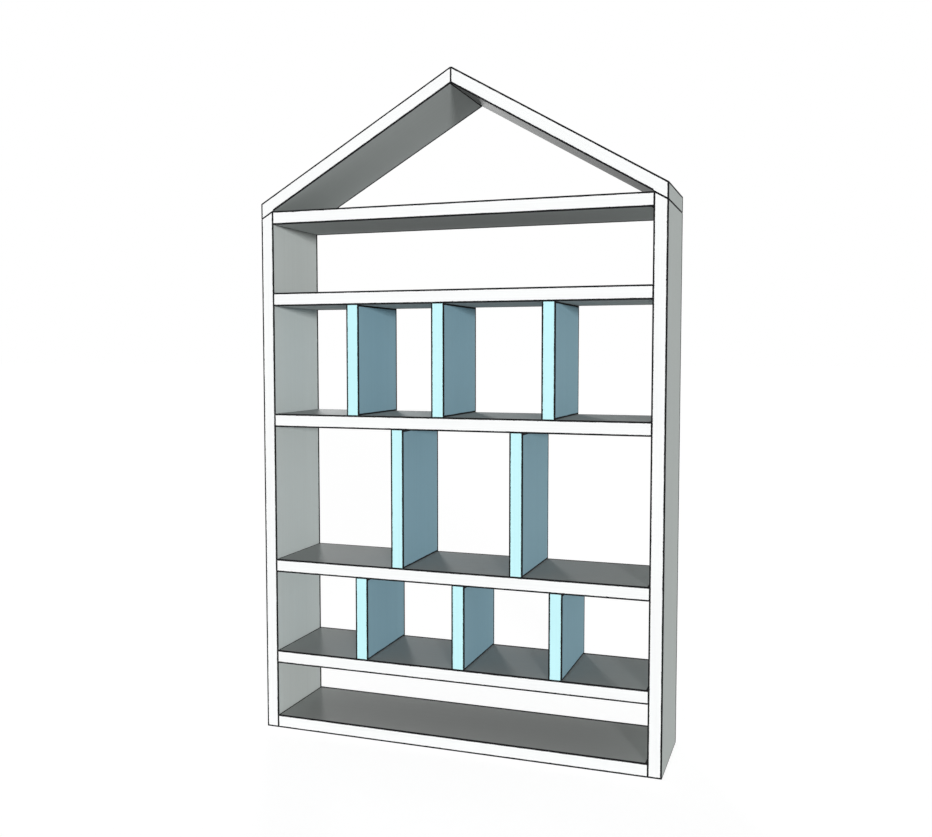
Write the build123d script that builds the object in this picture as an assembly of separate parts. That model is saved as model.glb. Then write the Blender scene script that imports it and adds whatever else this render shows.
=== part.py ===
from build123d import *
import os
from math import asin, cos, radians, sin, tan

# House-shaped wall shelf, in millimetres.
# The origin is the centre of the footprint on the underside, +X is the viewer's right, +Y the wall, +Z up.

# Boards
overall_width = 381.0
board_depth = 88.9
side_thickness = 12.7
shelf_thickness = 12.7
divider_thickness = 12.7
roof_thickness = 12.7
roof_pitch = 30.0
arris_round = 0.5

# Clear heights between the boards, from the bottom up
bottom_clear = 50.8
lower_clear = 76.2
middle_clear = 127.0
upper_clear = 101.6
top_clear = 63.5

# Middle planes of the dividers, from the centre line
upper_left_x = -96.5
upper_middle_x = -12.8
upper_right_x = 89.4
middle_left_x = -52.5
middle_right_x = 60.6
lower_left_x = -88.9
lower_middle_x = 6.4
lower_right_x = 96.8

# Brads, 1-1/4 inch, with their heads set under the surface and filled
brad_length = 31.75
brad_shank = 1.4
brad_head = 2.2
brad_head_height = 1.0
brad_tip = 2.0
brad_set = 1.0
brad_edge_distance = 19.0
eave_edge_distance = 11.0
attic_brad_drop = 3.2

# Sawtooth hangers and their pins, on the rear edge of the attic floor
hanger_spacing = 203.2
hanger_length = 45.0
hanger_height = 9.5
hanger_gauge = 0.8
hanger_corner = 2.0
hanger_pad = 7.0
bridge_standoff = 2.0
bridge_bend = 45.0
tooth_pitch = 2.5
tooth_depth = 1.6
tooth_land = 0.5
pin_shank = 1.25
pin_length = 12.7
pin_tip = 2.0
pin_head = 3.0
pin_head_height = 0.8
pin_clearance = 0.1

# Worked out from the sizes above
half_width = overall_width / 2
inner_half = half_width - side_thickness
front = -board_depth / 2
back = board_depth / 2
slope = tan(radians(roof_pitch))
shelf_names = ["bottom_board", "fourth_shelf", "third_shelf", "second_shelf", "top_shelf", "attic_floor"]
clear_heights = [bottom_clear, lower_clear, middle_clear, upper_clear, top_clear]
underside = {"bottom_board": 0.0}
for lower_name, name, clear in zip(shelf_names, shelf_names[1:], clear_heights):
    underside[name] = underside[lower_name] + shelf_thickness + clear
top_face = {name: z + shelf_thickness for name, z in underside.items()}
attic_top = top_face["attic_floor"]
eave_seat = attic_top - side_thickness * slope
ridge_underside = attic_top + inner_half * slope
roof_plumb = roof_thickness / cos(radians(roof_pitch))

divider_rows = {
    "upper_divider": ("second_shelf", "top_shelf", [upper_left_x, upper_middle_x, upper_right_x]),
    "middle_divider": ("third_shelf", "second_shelf", [middle_left_x, middle_right_x]),
    "lower_divider": ("fourth_shelf", "third_shelf", [lower_left_x, lower_middle_x, lower_right_x]),
}
place_names = {2: ["left", "right"], 3: ["left", "middle", "right"]}


def board(outline):
    """A board with this outline in the XZ plane, as deep as the shelf, its arrises eased."""
    face = make_face(Plane.XZ * Polyline(*outline, close=True))
    solid = extrude(face, amount=board_depth / 2, both=True)
    return fillet(solid.edges(), arris_round)


def rectangle(x0, x1, z0, z1):
    return [(x0, z0), (x1, z0), (x1, z1), (x0, z1)]


def side_outline(hand):
    """A side: square at the foot, bevelled at the top to carry the roof. hand is -1 left, +1 right."""
    outer = hand * half_width
    inner = hand * inner_half
    return [(outer, 0), (outer, eave_seat), (inner, attic_top), (inner, 0)]


def roof_outline(hand):
    """A roof board: lies on the side's bevel, plumb-cut at the eave, mitred plumb at the ridge."""
    eave = hand * half_width
    return [
        (0, ridge_underside),
        (eave, eave_seat),
        (eave, eave_seat + roof_plumb),
        (0, ridge_underside + roof_plumb),
    ]


def make_boards():
    boards = {
        "left_side": board(side_outline(-1)),
        "right_side": board(side_outline(1)),
        "left_roof_board": board(roof_outline(-1)),
        "right_roof_board": board(roof_outline(1)),
    }
    for name in shelf_names:
        boards[name] = board(rectangle(-inner_half, inner_half, underside[name], top_face[name]))
    for row, (below, above, places) in divider_rows.items():
        for place, x in zip(place_names[len(places)], places):
            x0 = x - divider_thickness / 2
            outline = rectangle(x0, x0 + divider_thickness, top_face[below], underside[above])
            boards[row + "_" + place] = board(outline)
    return boards


def turned(profile):
    """A solid of revolution about Z from (radius, height) points."""
    face = make_face(Plane.XZ * Polyline(*profile, close=True))
    return revolve(face, axis=Axis.Z)


def make_brad():
    """One brad along -Z. The surface of the wood is at Z = 0 and the head lies brad_set below it."""
    head_top = -brad_set
    head_under = head_top - brad_head_height
    end = head_top - brad_length
    return turned([
        (0, head_top),
        (brad_head / 2, head_top),
        (brad_head / 2, head_under),
        (brad_shank / 2, head_under),
        (brad_shank / 2, end + brad_tip),
        (0, end),
    ])


def make_plug():
    """The hole over a set head, long enough to pass a sloping face."""
    height = brad_set + brad_head
    return Pos(0, 0, -brad_set) * Cylinder(brad_head / 2, height, align=(Align.CENTER, Align.CENTER, Align.MIN))


def driven(point, direction):
    """The place of a brad that enters the wood at point and runs along direction."""
    return Plane(origin=point, z_dir=-Vector(*direction)).location


def side_brads(hand):
    """Two brads into each board between the sides, as (board that holds the head, place)."""
    host = "left_side" if hand < 0 else "right_side"
    rows = [front + brad_edge_distance, back - brad_edge_distance]
    places = []
    for name in shelf_names:
        height = underside[name] + shelf_thickness / 2
        entry = height
        tilt = 0.0
        if name == "attic_floor":
            # The bevel leaves little wood over the outer face, so these two start low and rise to the middle
            entry = eave_seat - attic_brad_drop
            tilt = asin((height - entry) / (brad_length + brad_set))
        for y in rows:
            direction = (-hand * cos(tilt), 0, sin(tilt))
            places.append((host, driven((hand * half_width, y, entry), direction)))
    return places


def eave_brads():
    """Two brads straight down through each roof board into the end of the side."""
    places = []
    for hand, host in [(-1, "left_roof_board"), (1, "right_roof_board")]:
        x = half_width - side_thickness / 2
        z = ridge_underside + roof_plumb - x * slope
        for y in [front + eave_edge_distance, back - eave_edge_distance]:
            places.append((host, driven((hand * x, y, z), (0, 0, -1))))
    return places


def ridge_brads():
    """Brads across the mitre, each along the middle plane of the roof board that it holds."""
    # That middle plane, carried on past the ridge, meets the upper face of the other board here
    x = roof_plumb / 4 / slope
    z = ridge_underside + roof_plumb - x * slope
    pitch = radians(roof_pitch)
    places = []
    for hand, host, rows in [
        (-1, "left_roof_board", [front + brad_edge_distance, back - brad_edge_distance]),
        (1, "right_roof_board", [0]),
    ]:
        direction = (-hand * cos(pitch), 0, -sin(pitch))
        for y in rows:
            places.append((host, driven((hand * x, y, z), direction)))
    return places


def divider_brads(row):
    """Two brads down and two up into each divider of a row, through the shelves that hold it."""
    below, above, centres = divider_rows[row]
    places = []
    for x in centres:
        for y in [front + brad_edge_distance, back - brad_edge_distance]:
            places.append((above, driven((x, y, top_face[above]), (0, 0, -1))))
            places.append((below, driven((x, y, underside[below]), (0, 0, 1))))
    return places


def boxes_meet(a, b):
    """Whether two bounding boxes share any space."""
    return all(
        low_a <= high_b and low_b <= high_a
        for low_a, high_a, low_b, high_b in zip(a.min, a.max, b.min, b.max)
    )


def filler_name(host):
    """The node that holds the filler over the nail heads in this board."""
    if host.endswith("_side"):
        return host + "_nail_filler"
    if host.endswith("_roof_board"):
        return "roof_nail_filler"
    return "shelf_nail_filler"


def nail_together(boards, groups):
    """Drills the boards for every brad, and returns the brads and the filler over their heads."""
    brad = make_brad()
    plug = make_plug()
    nodes = {name: [] for name in groups}
    cuts = {name: [] for name in boards}
    boxes = {name: solid.bounding_box() for name, solid in boards.items()}
    for group, places in groups.items():
        for host, place in places:
            nail = place * brad
            hole = place * plug
            nodes[group].append(nail)
            reach = nail.bounding_box()
            for name, box in boxes.items():
                if boxes_meet(reach, box):
                    cuts[name].append(nail)
            cuts[host].append(hole)
            nodes.setdefault(filler_name(host), []).append((hole & boards[host]).solid())
    for name, tools in cuts.items():
        if tools:
            boards[name] = (boards[name] - tools).solid()
    return nodes


def pin_places(hand):
    """Where the two pins of a hanger stand, in the middle of its flat ends."""
    z = underside["attic_floor"] + shelf_thickness / 2
    centre = hand * hanger_spacing / 2
    reach = (hanger_length - hanger_pad) / 2
    return [Plane(origin=(centre + side * reach, back, z), z_dir=(0, 1, 0)).location for side in (-1, 1)]


def make_pin():
    """A pin along -Z with its head on the hanger. The rear edge of the wood is at Z = 0."""
    pin = turned([
        (0, hanger_gauge + pin_head_height),
        (pin_head / 2, hanger_gauge + pin_head_height),
        (pin_head / 2, hanger_gauge),
        (pin_shank / 2, hanger_gauge),
        (pin_shank / 2, pin_tip - pin_length),
        (0, -pin_length),
    ])
    return fillet(pin.edges().sort_by(Axis.Z)[-1], pin_head_height / 2)


def sawtooth_hanger(hand):
    """A strip bent out in the middle, with teeth along the lower edge of the bridge."""
    z = underside["attic_floor"] + shelf_thickness / 2
    x = hand * hanger_spacing / 2
    end = hanger_length / 2
    foot = end - hanger_pad
    crest = foot - bridge_standoff / tan(radians(bridge_bend))
    shift = hanger_gauge * tan(radians(bridge_bend / 2))
    inner = [(-end, 0), (-foot, 0), (-crest, bridge_standoff), (crest, bridge_standoff), (foot, 0), (end, 0)]
    outer = [
        (end, hanger_gauge),
        (foot + shift, hanger_gauge),
        (crest + shift, bridge_standoff + hanger_gauge),
        (-crest - shift, bridge_standoff + hanger_gauge),
        (-foot - shift, hanger_gauge),
        (-end, hanger_gauge),
    ]
    bent = extrude(make_face(Polyline(*inner, *outer, close=True)), amount=hanger_height / 2, both=True)
    reach = bridge_standoff + hanger_gauge
    blank = extrude(Plane.XZ * RectangleRounded(hanger_length, hanger_height, hanger_corner), amount=-reach)
    strip = bent & blank
    # One notch in the middle of the bridge, and as many on each side of it as leave its ends plain
    beside = int(crest / tooth_pitch - 1)
    half = (tooth_pitch - tooth_land) / 2
    corners = [
        (-half, -hanger_height / 2),
        (0, -hanger_height / 2 + tooth_depth),
        (half, -hanger_height / 2),
    ]
    notch = extrude(make_face(Plane.XZ * Polyline(*corners, close=True)), amount=2 * reach, both=True)
    notches = [Pos(i * tooth_pitch, 0, 0) * notch for i in range(-beside, beside + 1)]
    strip = Pos(x, back, z) * (strip - notches)
    eye = Cylinder(pin_shank / 2 + pin_clearance, 4 * hanger_gauge)
    return (strip - [place * eye for place in pin_places(hand)]).solid()


def main():
    boards = make_boards()
    groups = {
        "left_side_brads": side_brads(-1),
        "right_side_brads": side_brads(1),
        "roof_eave_brads": eave_brads(),
        "ridge_brads": ridge_brads(),
        "upper_divider_brads": divider_brads("upper_divider"),
        "middle_divider_brads": divider_brads("middle_divider"),
        "lower_divider_brads": divider_brads("lower_divider"),
    }
    pieces = nail_together(boards, groups)
    pin = make_pin()
    pins = [place * pin for hand in (-1, 1) for place in pin_places(hand)]
    boards["attic_floor"] = (boards["attic_floor"] - pins).solid()
    nodes = boards | {name: Compound(children=solids) for name, solids in pieces.items()}
    nodes["sawtooth_hanger_left"] = sawtooth_hanger(-1)
    nodes["sawtooth_hanger_right"] = sawtooth_hanger(1)
    nodes["hanger_pins"] = Compound(children=pins)
    os.makedirs("parts", exist_ok=True)
    for name, shape in nodes.items():
        export_step(shape, "parts/" + name + ".step")


main()
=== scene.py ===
from math import cos, pi, radians, sin, tan

import bpy
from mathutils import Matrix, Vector


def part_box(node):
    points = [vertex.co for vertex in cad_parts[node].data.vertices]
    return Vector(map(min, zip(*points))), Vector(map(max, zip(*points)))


# House-shaped wall shelf: looks, in metres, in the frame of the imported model

MM = 0.001

# The shelf's own sizes that its boxes do not give
board_thickness = 12.7 * MM
roof_pitch = radians(30)

# Paint colours, as linear light. The pale edges are the paint itself; the greys of the faces are painted
# shade, darker on the level faces than on the upright ones, on top of the shade the lamps give
white_edge = (0.87, 0.88, 0.88)
side_shaded_grey = (0.57, 0.61, 0.595)
# Painted shade: the outer faces of the sides and the roof ends, darker than the inner faces, which get
# less light
outer_shaded_grey = (0.48, 0.515, 0.50)
shelf_shaded_grey = (0.352, 0.366, 0.359)
# Undersides: painted light on the high shelves and the left roof board, paler than their faces, and
# painted shade on the right roof board
high_shelf_under_painted_light = (0.45, 0.475, 0.47)
roof_shaded_grey = (0.475, 0.51, 0.50)
left_roof_under_painted_light = (0.50, 0.535, 0.525)
right_roof_under_painted_shade = (0.185, 0.195, 0.191)
ice_blue = (0.53, 0.85, 0.89)
# Painted shade: the faces of the dividers, a shaded copy of the ice blue of their edges
divider_shaded_aqua = (0.25, 0.40, 0.47)
undercoat = (0.010, 0.010, 0.011)
filler_tone = 1.06
paint_shine = 0.1

# Metal colours
bright_steel = (0.56, 0.57, 0.58)
zinc = (0.34, 0.34, 0.35)
brass = (0.46, 0.34, 0.15)

# Painted light on the lowest shelves, paler than the others to offset the shade they stand in, and
# undersides with a grey of their own, as painted light and painted shade
low_shelf_painted_light = {"bottom_board": 1.24, "fourth_shelf": 1.1}
under_painted_light_and_shade = {
    "attic_floor": high_shelf_under_painted_light,
    "top_shelf": high_shelf_under_painted_light,
    "left_roof_board": left_roof_under_painted_light,
    "right_roof_board": right_roof_under_painted_shade,
}

# Marks in the paint: strokes of the brush, the coarser grain under them, and broad uneven patches
stroke_length = 160 * MM
stroke_width = 0.9 * MM
grain_coarseness = 3.5
patch_size = 70 * MM

# Marks in the filler and in the metal
speck_size = 0.7 * MM
scratch_length = 12 * MM
scratch_width = 0.25 * MM
spangle_size = 2.5 * MM

# Dark lines where the paint is rubbed through at the edges of the boards
line_width = 1.55 * MM
line_wander = 0.5 * MM
line_chip = 0.5 * MM
line_feather = 0.5 * MM
line_blur = 0.1 * MM
wander_size = 12 * MM
chip_size = 2.6 * MM
grit_size = 0.4 * MM
face_depth = 0.3 * MM

# Their widths on the faces that run from front to rear. They are wider at the rear, where the slant is
front_line = 0.75 * MM
upright_rear_line = 3.0 * MM
outer_rear_line = 4.8 * MM
level_rear_line = 4.2 * MM
high_rear_line = 6.5 * MM

# Camera, from the perspective of the picture
camera_place = (0.30917, -0.88791, 0.36073)
camera_turn = 0.33639
camera_dip = 0.0632
camera_lens = 38.92
camera_sensor = 36.0

# Light: low and soft, so that the level faces stay darker than the front
world_strength = 0.30
sun_height = radians(4)
sun_spread = radians(7)
key_turn = radians(28.6)
key_strength = 0.90
rear_strength = 0.78
floor_albedo = 0.85
floor_seen_albedo = 0.30
floor_glow = 0.88
floor_drop = 0.2 * MM
floor_size = 60.0

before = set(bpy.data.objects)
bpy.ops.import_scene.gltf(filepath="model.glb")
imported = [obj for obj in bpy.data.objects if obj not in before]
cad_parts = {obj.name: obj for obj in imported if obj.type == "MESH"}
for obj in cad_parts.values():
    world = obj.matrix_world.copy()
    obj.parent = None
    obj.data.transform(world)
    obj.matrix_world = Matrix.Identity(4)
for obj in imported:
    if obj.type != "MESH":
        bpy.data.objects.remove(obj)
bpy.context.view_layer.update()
bpy.ops.object.select_all(action="DESELECT")

half_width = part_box("right_side")[1].x
half_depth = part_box("right_side")[1].y
inner_half = half_width - board_thickness
attic_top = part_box("attic_floor")[1].z
ridge_underside = attic_top + inner_half * tan(roof_pitch)


class Num:
    """A number that changes over a surface. Sums written with it become Math nodes."""

    def __init__(self, tree, socket):
        self.tree = tree
        self.socket = socket

    def sum(self, operation, *values):
        node = self.tree.nodes.new("ShaderNodeMath")
        node.operation = operation
        for plug, value in zip(node.inputs, values):
            if isinstance(value, Num):
                self.tree.links.new(value.socket, plug)
            else:
                plug.default_value = value
        return Num(self.tree, node.outputs[0])

    def __add__(self, other):
        return self.sum("ADD", self, other)

    def __radd__(self, other):
        return self.sum("ADD", other, self)

    def __sub__(self, other):
        return self.sum("SUBTRACT", self, other)

    def __rsub__(self, other):
        return self.sum("SUBTRACT", other, self)

    def __mul__(self, other):
        return self.sum("MULTIPLY", self, other)

    def __rmul__(self, other):
        return self.sum("MULTIPLY", other, self)

    def __truediv__(self, other):
        return self.sum("DIVIDE", self, other)

    def __rtruediv__(self, other):
        return self.sum("DIVIDE", other, self)

    def __abs__(self):
        return self.sum("ABSOLUTE", self)

    def least(self, other):
        return self.sum("MINIMUM", self, other)

    def most(self, other):
        return self.sum("MAXIMUM", self, other)


class Finish:
    """A material being written: its nodes, and the patterns that the finishes share."""

    def __init__(self, name):
        self.material = bpy.data.materials.new(name)
        self.material.use_nodes = True
        self.tree = self.material.node_tree
        self.tree.nodes.clear()
        self.place = self.node("ShaderNodeTexCoord").outputs["Object"]
        parts = self.node("ShaderNodeSeparateXYZ", Vector=self.place).outputs
        self.x, self.y, self.z = (Num(self.tree, part) for part in parts)

    def node(self, kind, settings=None, **values):
        """Adds a node: its settings first, then a value or a link for each named socket."""
        node = self.tree.nodes.new(kind)
        for name, value in (settings or {}).items():
            setattr(node, name, value)
        for name, value in values.items():
            plug = node.inputs[name.replace("_", " ")]
            if isinstance(value, Num):
                value = value.socket
            if isinstance(value, bpy.types.NodeSocket):
                self.tree.links.new(value, plug)
            else:
                plug.default_value = value
        return node

    def noise(self, size, seed=0.0, detail=2.0, place=None):
        """Noise from 0 to 1 whose lumps are this large along X, Y and Z, or all the same way."""
        sizes = size if isinstance(size, tuple) else (size,) * 3
        scaled = self.node(
            "ShaderNodeMapping",
            Vector=place or self.place,
            Location=(seed, seed * 1.7, seed * 2.3),
            Scale=tuple(1 / s for s in sizes),
        ).outputs[0]
        noise = self.node("ShaderNodeTexNoise", Vector=scaled, Scale=1.0, Detail=detail)
        return Num(self.tree, noise.outputs[0])

    def step(self, value, low, high):
        """0 below low, 1 above high, and smooth between them. Low may be the larger."""
        node = self.node("ShaderNodeMapRange", {"interpolation_type": "SMOOTHSTEP"})
        for name, given in (("Value", value), ("From Min", low), ("From Max", high)):
            if isinstance(given, Num):
                self.tree.links.new(given.socket, node.inputs[name])
            else:
                node.inputs[name].default_value = given
        return Num(self.tree, node.outputs[0])

    def blend(self, factor, first, second, how="MIX"):
        """A colour between two colours, either of which may be a link."""
        node = self.tree.nodes.new("ShaderNodeMix")
        node.data_type = "RGBA"
        node.blend_type = how
        for index, given in ((0, factor), (6, first), (7, second)):
            given = given.socket if isinstance(given, Num) else given
            if isinstance(given, bpy.types.NodeSocket):
                self.tree.links.new(given, node.inputs[index])
            else:
                node.inputs[index].default_value = given if index == 0 else (*given, 1.0)
        return node.outputs[2]

    def grey(self, value):
        """A number as a grey colour."""
        return self.node("ShaderNodeCombineColor", Red=value, Green=value, Blue=value).outputs[0]

    def toned(self, colour, tone):
        """A colour made darker or paler by a number."""
        return self.blend(1.0, colour, self.grey(tone), "MULTIPLY")

    def relief(self, height):
        """The normal of a surface with this relief, in millimetres."""
        return self.node("ShaderNodeBump", Height=height, Distance=MM, Strength=1.0).outputs[0]

    def paint(self, **values):
        """Ends the material in one shader with these sockets."""
        shader = self.node("ShaderNodeBsdfPrincipled", **values)
        self.node("ShaderNodeOutputMaterial", Surface=shader.outputs[0])
        return self.material


def between(coordinate, low, high):
    """How far inside a slab a point is, from the nearer of its two faces."""
    return (high - low) / 2 - abs(coordinate - (low + high) / 2)


def at_face(finish, distance):
    """1 on the face that this distance is measured from, and 0 behind it."""
    return finish.step(distance, face_depth + line_blur, face_depth)


def depth_faces(finish, rear_line):
    """Distance to the front or rear, stretched so that their lines come out in their own widths."""
    front = (finish.y + half_depth) * (line_width / front_line)
    return front.least((half_depth - finish.y) * line_width / rear_line)


def joint(finish, distance, deep):
    """Distance to a butt joint. On the front and rear edges only the other board has a line there."""
    return distance + 3 * line_width * at_face(finish, deep)


def shelf_tone(name):
    """The grey of a level board, in painted shade. The lowest stand in the shade of the others and are
    painted a little paler, as painted light.
    """
    return tuple(c * low_shelf_painted_light.get(name, 1.0) for c in shelf_shaded_grey)


def shelf_faces(name, finish):
    """Distances to the faces of a level board, across X, Y and Z, and 1 on its underside."""
    low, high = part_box(name)
    under = at_face(finish, finish.z - low.z)
    rear_line = level_rear_line
    if name in under_painted_light_and_shade:
        rear_line = level_rear_line + (high_rear_line - level_rear_line) * under
    deep = depth_faces(finish, rear_line)
    across = joint(finish, between(finish.x, low.x, high.x), deep)
    return across, deep, between(finish.z, low.z, high.z), under


def divider_faces(name, finish):
    """As shelf_faces, for an upright board between two shelves. Its underside doesn't show."""
    low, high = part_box(name)
    deep = depth_faces(finish, upright_rear_line)
    upright = joint(finish, between(finish.z, low.z, high.z), deep)
    return between(finish.x, low.x, high.x), deep, upright, None


def side_faces(name, finish):
    """As divider_faces, for a side. The roof has half of the line along the bevelled top."""
    low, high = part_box(name)
    outside = at_face(finish, half_width - abs(finish.x))
    deep = depth_faces(finish, upright_rear_line + (outer_rear_line - upright_rear_line) * outside)
    bevel = (attic_top - finish.z) * cos(roof_pitch) + (inner_half - abs(finish.x)) * sin(roof_pitch)
    return between(finish.x, low.x, high.x), deep, (2 * bevel).least(finish.z), None


def roof_faces(name, finish):
    """As shelf_faces, for a roof board. It shares its lines with the side under it and at the ridge."""
    out = abs(finish.x)
    above = (finish.z + out * tan(roof_pitch) - ridge_underside) * cos(roof_pitch)
    under = at_face(finish, above)
    outside = at_face(finish, half_width - out)
    rear_line = upright_rear_line + (outer_rear_line - upright_rear_line) * outside
    if name == "right_roof_board":
        rear_line = rear_line + (high_rear_line - upright_rear_line) * under
    on_side = finish.step(out, inner_half - line_blur, inner_half + line_blur)
    high = (above * (1 + on_side)).least(board_thickness - above)
    return (2 * out).least(half_width - out), depth_faces(finish, rear_line), high, under


def rubbed_through(finish, arris, seed):
    """1 close to an arris, where the paint is gone: a line of uneven width with a gritty edge."""
    ragged = finish.noise(wander_size, seed, 3.0)
    chips = finish.noise(chip_size, seed + 5, 3.0)
    grit = finish.noise(grit_size, seed + 7, 2.0)
    width = line_width + line_wander * (ragged - 0.5) + line_chip * finish.step(chips, 0.58, 0.90)
    edge = width + line_feather * (grit - 0.5)
    return finish.step(arris, edge + line_blur, edge - line_blur)


def brush_marks(finish, name, along, seed):
    """Strokes of the brush along a board, and the grain under them. A roof board's follow its slope."""
    place = None
    if along == "roof":
        turn = roof_pitch if name == "right_roof_board" else -roof_pitch
        place = finish.node("ShaderNodeMapping", Vector=finish.place, Rotation=(0, -turn, 0)).outputs[0]
    size = (stroke_length, stroke_width, stroke_width)
    if along == "z":
        size = (stroke_width, stroke_width, stroke_length)
    strokes = finish.noise(size, seed, 4.0, place)
    grain = finish.noise(tuple(grain_coarseness * s for s in size), seed + 2, 3.0, place)
    return strokes, grain


def painted_board(name, faces, along, edge_colour, face_colour, seed):
    """Brushed matte paint on a board: pale front and rear edges, faces darker in painted shade, arrises
    rubbed dark.
    """
    finish = Finish(name + "_paint")
    across, deep, high, under = faces(name, finish)
    arris = across.least(deep).most(across.most(deep).least(high))
    worn = rubbed_through(finish, arris, seed)

    # Painted shade: the outer faces take a darker grey, and some undersides a grey of their own, paler as
    # painted light and darker as painted shade
    base = finish.blend(at_face(finish, half_width - abs(finish.x)), face_colour, outer_shaded_grey)
    if name in under_painted_light_and_shade:
        base = finish.blend(under, base, under_painted_light_and_shade[name])
    base = finish.blend(at_face(finish, deep), base, edge_colour)

    strokes, grain = brush_marks(finish, name, along, seed)
    patches = finish.noise(patch_size, seed + 3, 2.0)
    base = finish.toned(base, 0.905 + 0.05 * patches + 0.09 * strokes + 0.05 * grain)
    return finish.paint(
        Base_Color=finish.blend(worn, base, undercoat),
        Roughness=0.74 + 0.10 * strokes + 0.08 * patches,
        Specular_IOR_Level=paint_shine,
        Normal=finish.relief(0.05 * strokes + 0.06 * grain - 0.05 * worn),
    )


def filler_paint(name, colour, seed):
    """Filler over the nail heads: the same paint, a touch paler and flatter, and speckled."""
    finish = Finish(name + "_finish")
    specks = finish.noise(speck_size, seed, 3.0)
    return finish.paint(
        Base_Color=finish.toned(colour, filler_tone + 0.08 * (specks - 0.5)),
        Roughness=0.78 + 0.1 * specks,
        Specular_IOR_Level=paint_shine,
        Normal=finish.relief(0.05 * specks),
    )


def metal(name, colour, rough, along, seed):
    """Plated or drawn metal, with fine scratches along its length."""
    finish = Finish(name + "_metal")
    size = tuple(scratch_length if axis == along else scratch_width for axis in "xyz")
    scratches = finish.noise(size, seed, 3.0)
    spangle = finish.noise(spangle_size, seed + 1, 2.0)
    return finish.paint(
        Base_Color=finish.toned(colour, 0.86 + 0.16 * spangle + 0.08 * scratches),
        Metallic=1.0,
        Roughness=rough + 0.15 * scratches,
        Normal=finish.relief(0.01 * scratches),
    )


def coat(node, material):
    """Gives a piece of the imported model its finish."""
    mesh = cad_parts[node].data
    mesh.materials.clear()
    mesh.materials.append(material)


def paint_boards():
    shelves = ["attic_floor", "top_shelf", "second_shelf", "third_shelf", "fourth_shelf", "bottom_board"]
    dividers = [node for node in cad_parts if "_divider_" in node and not node.endswith("brads")]
    # Each board gets the pale paint on its edges and a grey of painted shade on its faces
    for seed, node in enumerate(shelves, start=10):
        coat(node, painted_board(node, shelf_faces, "x", white_edge, shelf_tone(node), seed))
    for seed, node in enumerate(["left_side", "right_side"], start=20):
        coat(node, painted_board(node, side_faces, "z", white_edge, side_shaded_grey, seed))
    for seed, node in enumerate(["left_roof_board", "right_roof_board"], start=30):
        coat(node, painted_board(node, roof_faces, "roof", white_edge, roof_shaded_grey, seed))
    for seed, node in enumerate(sorted(dividers), start=40):
        coat(node, painted_board(node, divider_faces, "z", ice_blue, divider_shaded_aqua, seed))


def finish_fastenings():
    # The filler takes the grey of the face around it, painted shade included
    fillers = {
        "left_side_nail_filler": outer_shaded_grey,
        "right_side_nail_filler": outer_shaded_grey,
        "roof_nail_filler": roof_shaded_grey,
        "shelf_nail_filler": shelf_shaded_grey,
    }
    for seed, (node, colour) in enumerate(fillers.items(), start=60):
        coat(node, filler_paint(node, colour, seed))
    brads = {
        "left_side_brads": "x",
        "right_side_brads": "x",
        "ridge_brads": "x",
        "roof_eave_brads": "z",
        "upper_divider_brads": "z",
        "middle_divider_brads": "z",
        "lower_divider_brads": "z",
    }
    for seed, (node, along) in enumerate(brads.items(), start=70):
        coat(node, metal(node, bright_steel, 0.25, along, seed))
    for seed, node in enumerate(["sawtooth_hanger_left", "sawtooth_hanger_right"], start=80):
        coat(node, metal(node, zinc, 0.38, "x", seed))
    coat("hanger_pins", metal("hanger_pins", brass, 0.30, "y", 85))


def low_sun(name, turn, strength):
    """A soft lamp far off, low down, turned from the front towards +X. At 1 a white face renders white."""
    data = bpy.data.lights.new(name, "SUN")
    data.energy = strength * pi
    data.angle = sun_spread
    towards = Vector((sin(turn) * cos(sun_height), -cos(turn) * cos(sun_height), sin(sun_height)))
    lamp = bpy.data.objects.new(name, data)
    lamp.rotation_euler = towards.to_track_quat("Z", "Y").to_euler()
    bpy.context.scene.collection.objects.link(lamp)


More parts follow.
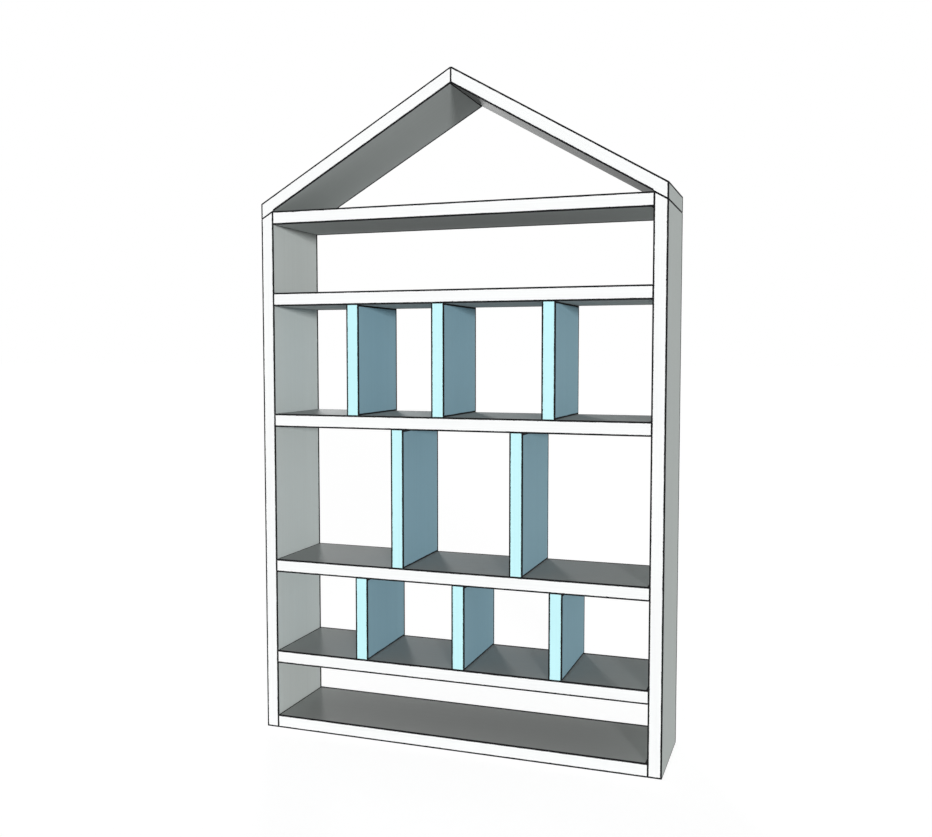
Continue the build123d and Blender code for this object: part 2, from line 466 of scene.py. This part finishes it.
def looked_at(tree):
    """1 where the camera, a shine or a clear piece looks, and 0 for the light that falls on things."""
    path = tree.nodes.new("ShaderNodeLightPath").outputs
    seen = Num(tree, path["Is Camera Ray"]).most(Num(tree, path["Is Glossy Ray"]))
    return seen.most(Num(tree, path["Is Transmission Ray"]))


def make_world():
    """Dim light from all round, and a white ground behind the shelf."""
    world = bpy.data.worlds.new("studio")
    world.use_nodes = True
    tree = world.node_tree
    tree.nodes.clear()
    strength = world_strength + (1 - world_strength) * looked_at(tree)
    background = tree.nodes.new("ShaderNodeBackground")
    background.inputs["Color"].default_value = (1.0, 1.0, 1.0, 1.0)
    tree.links.new(strength.socket, background.inputs["Strength"])
    output = tree.nodes.new("ShaderNodeOutputWorld")
    tree.links.new(background.outputs[0], output.inputs["Surface"])
    bpy.context.scene.world = world


def make_floor():
    """A pale floor. It looks white, with a faint shadow, and throws light back as pale card does."""
    bpy.ops.mesh.primitive_plane_add(size=floor_size, location=(0, 0, -floor_drop))
    floor = bpy.context.object
    floor.name = "studio_floor"
    finish = Finish("studio_floor")
    seen = looked_at(finish.tree)
    albedo = finish.grey(floor_albedo + (floor_seen_albedo - floor_albedo) * seen)
    lit = finish.node("ShaderNodeBsdfDiffuse", Color=albedo).outputs[0]
    glow = finish.node("ShaderNodeEmission", Strength=floor_glow * seen).outputs[0]
    both = finish.tree.nodes.new("ShaderNodeAddShader")
    finish.tree.links.new(lit, both.inputs[0])
    finish.tree.links.new(glow, both.inputs[1])
    finish.node("ShaderNodeOutputMaterial", Surface=both.outputs[0])
    floor.data.materials.append(finish.material)


def make_camera():
    data = bpy.data.cameras.new("camera")
    data.lens = camera_lens
    data.sensor_width = camera_sensor
    data.clip_end = 2 * floor_size
    camera = bpy.data.objects.new("camera", data)
    camera.location = camera_place
    camera.rotation_euler = (pi / 2 - camera_dip, 0, camera_turn)
    bpy.context.scene.collection.objects.link(camera)
    bpy.context.scene.camera = camera


paint_boards()
finish_fastenings()
low_sun("key", key_turn, key_strength)
low_sun("rear_fill", key_turn + pi, rear_strength)
make_world()
make_floor()
make_camera()
bpy.context.scene.view_settings.view_transform = "Standard"
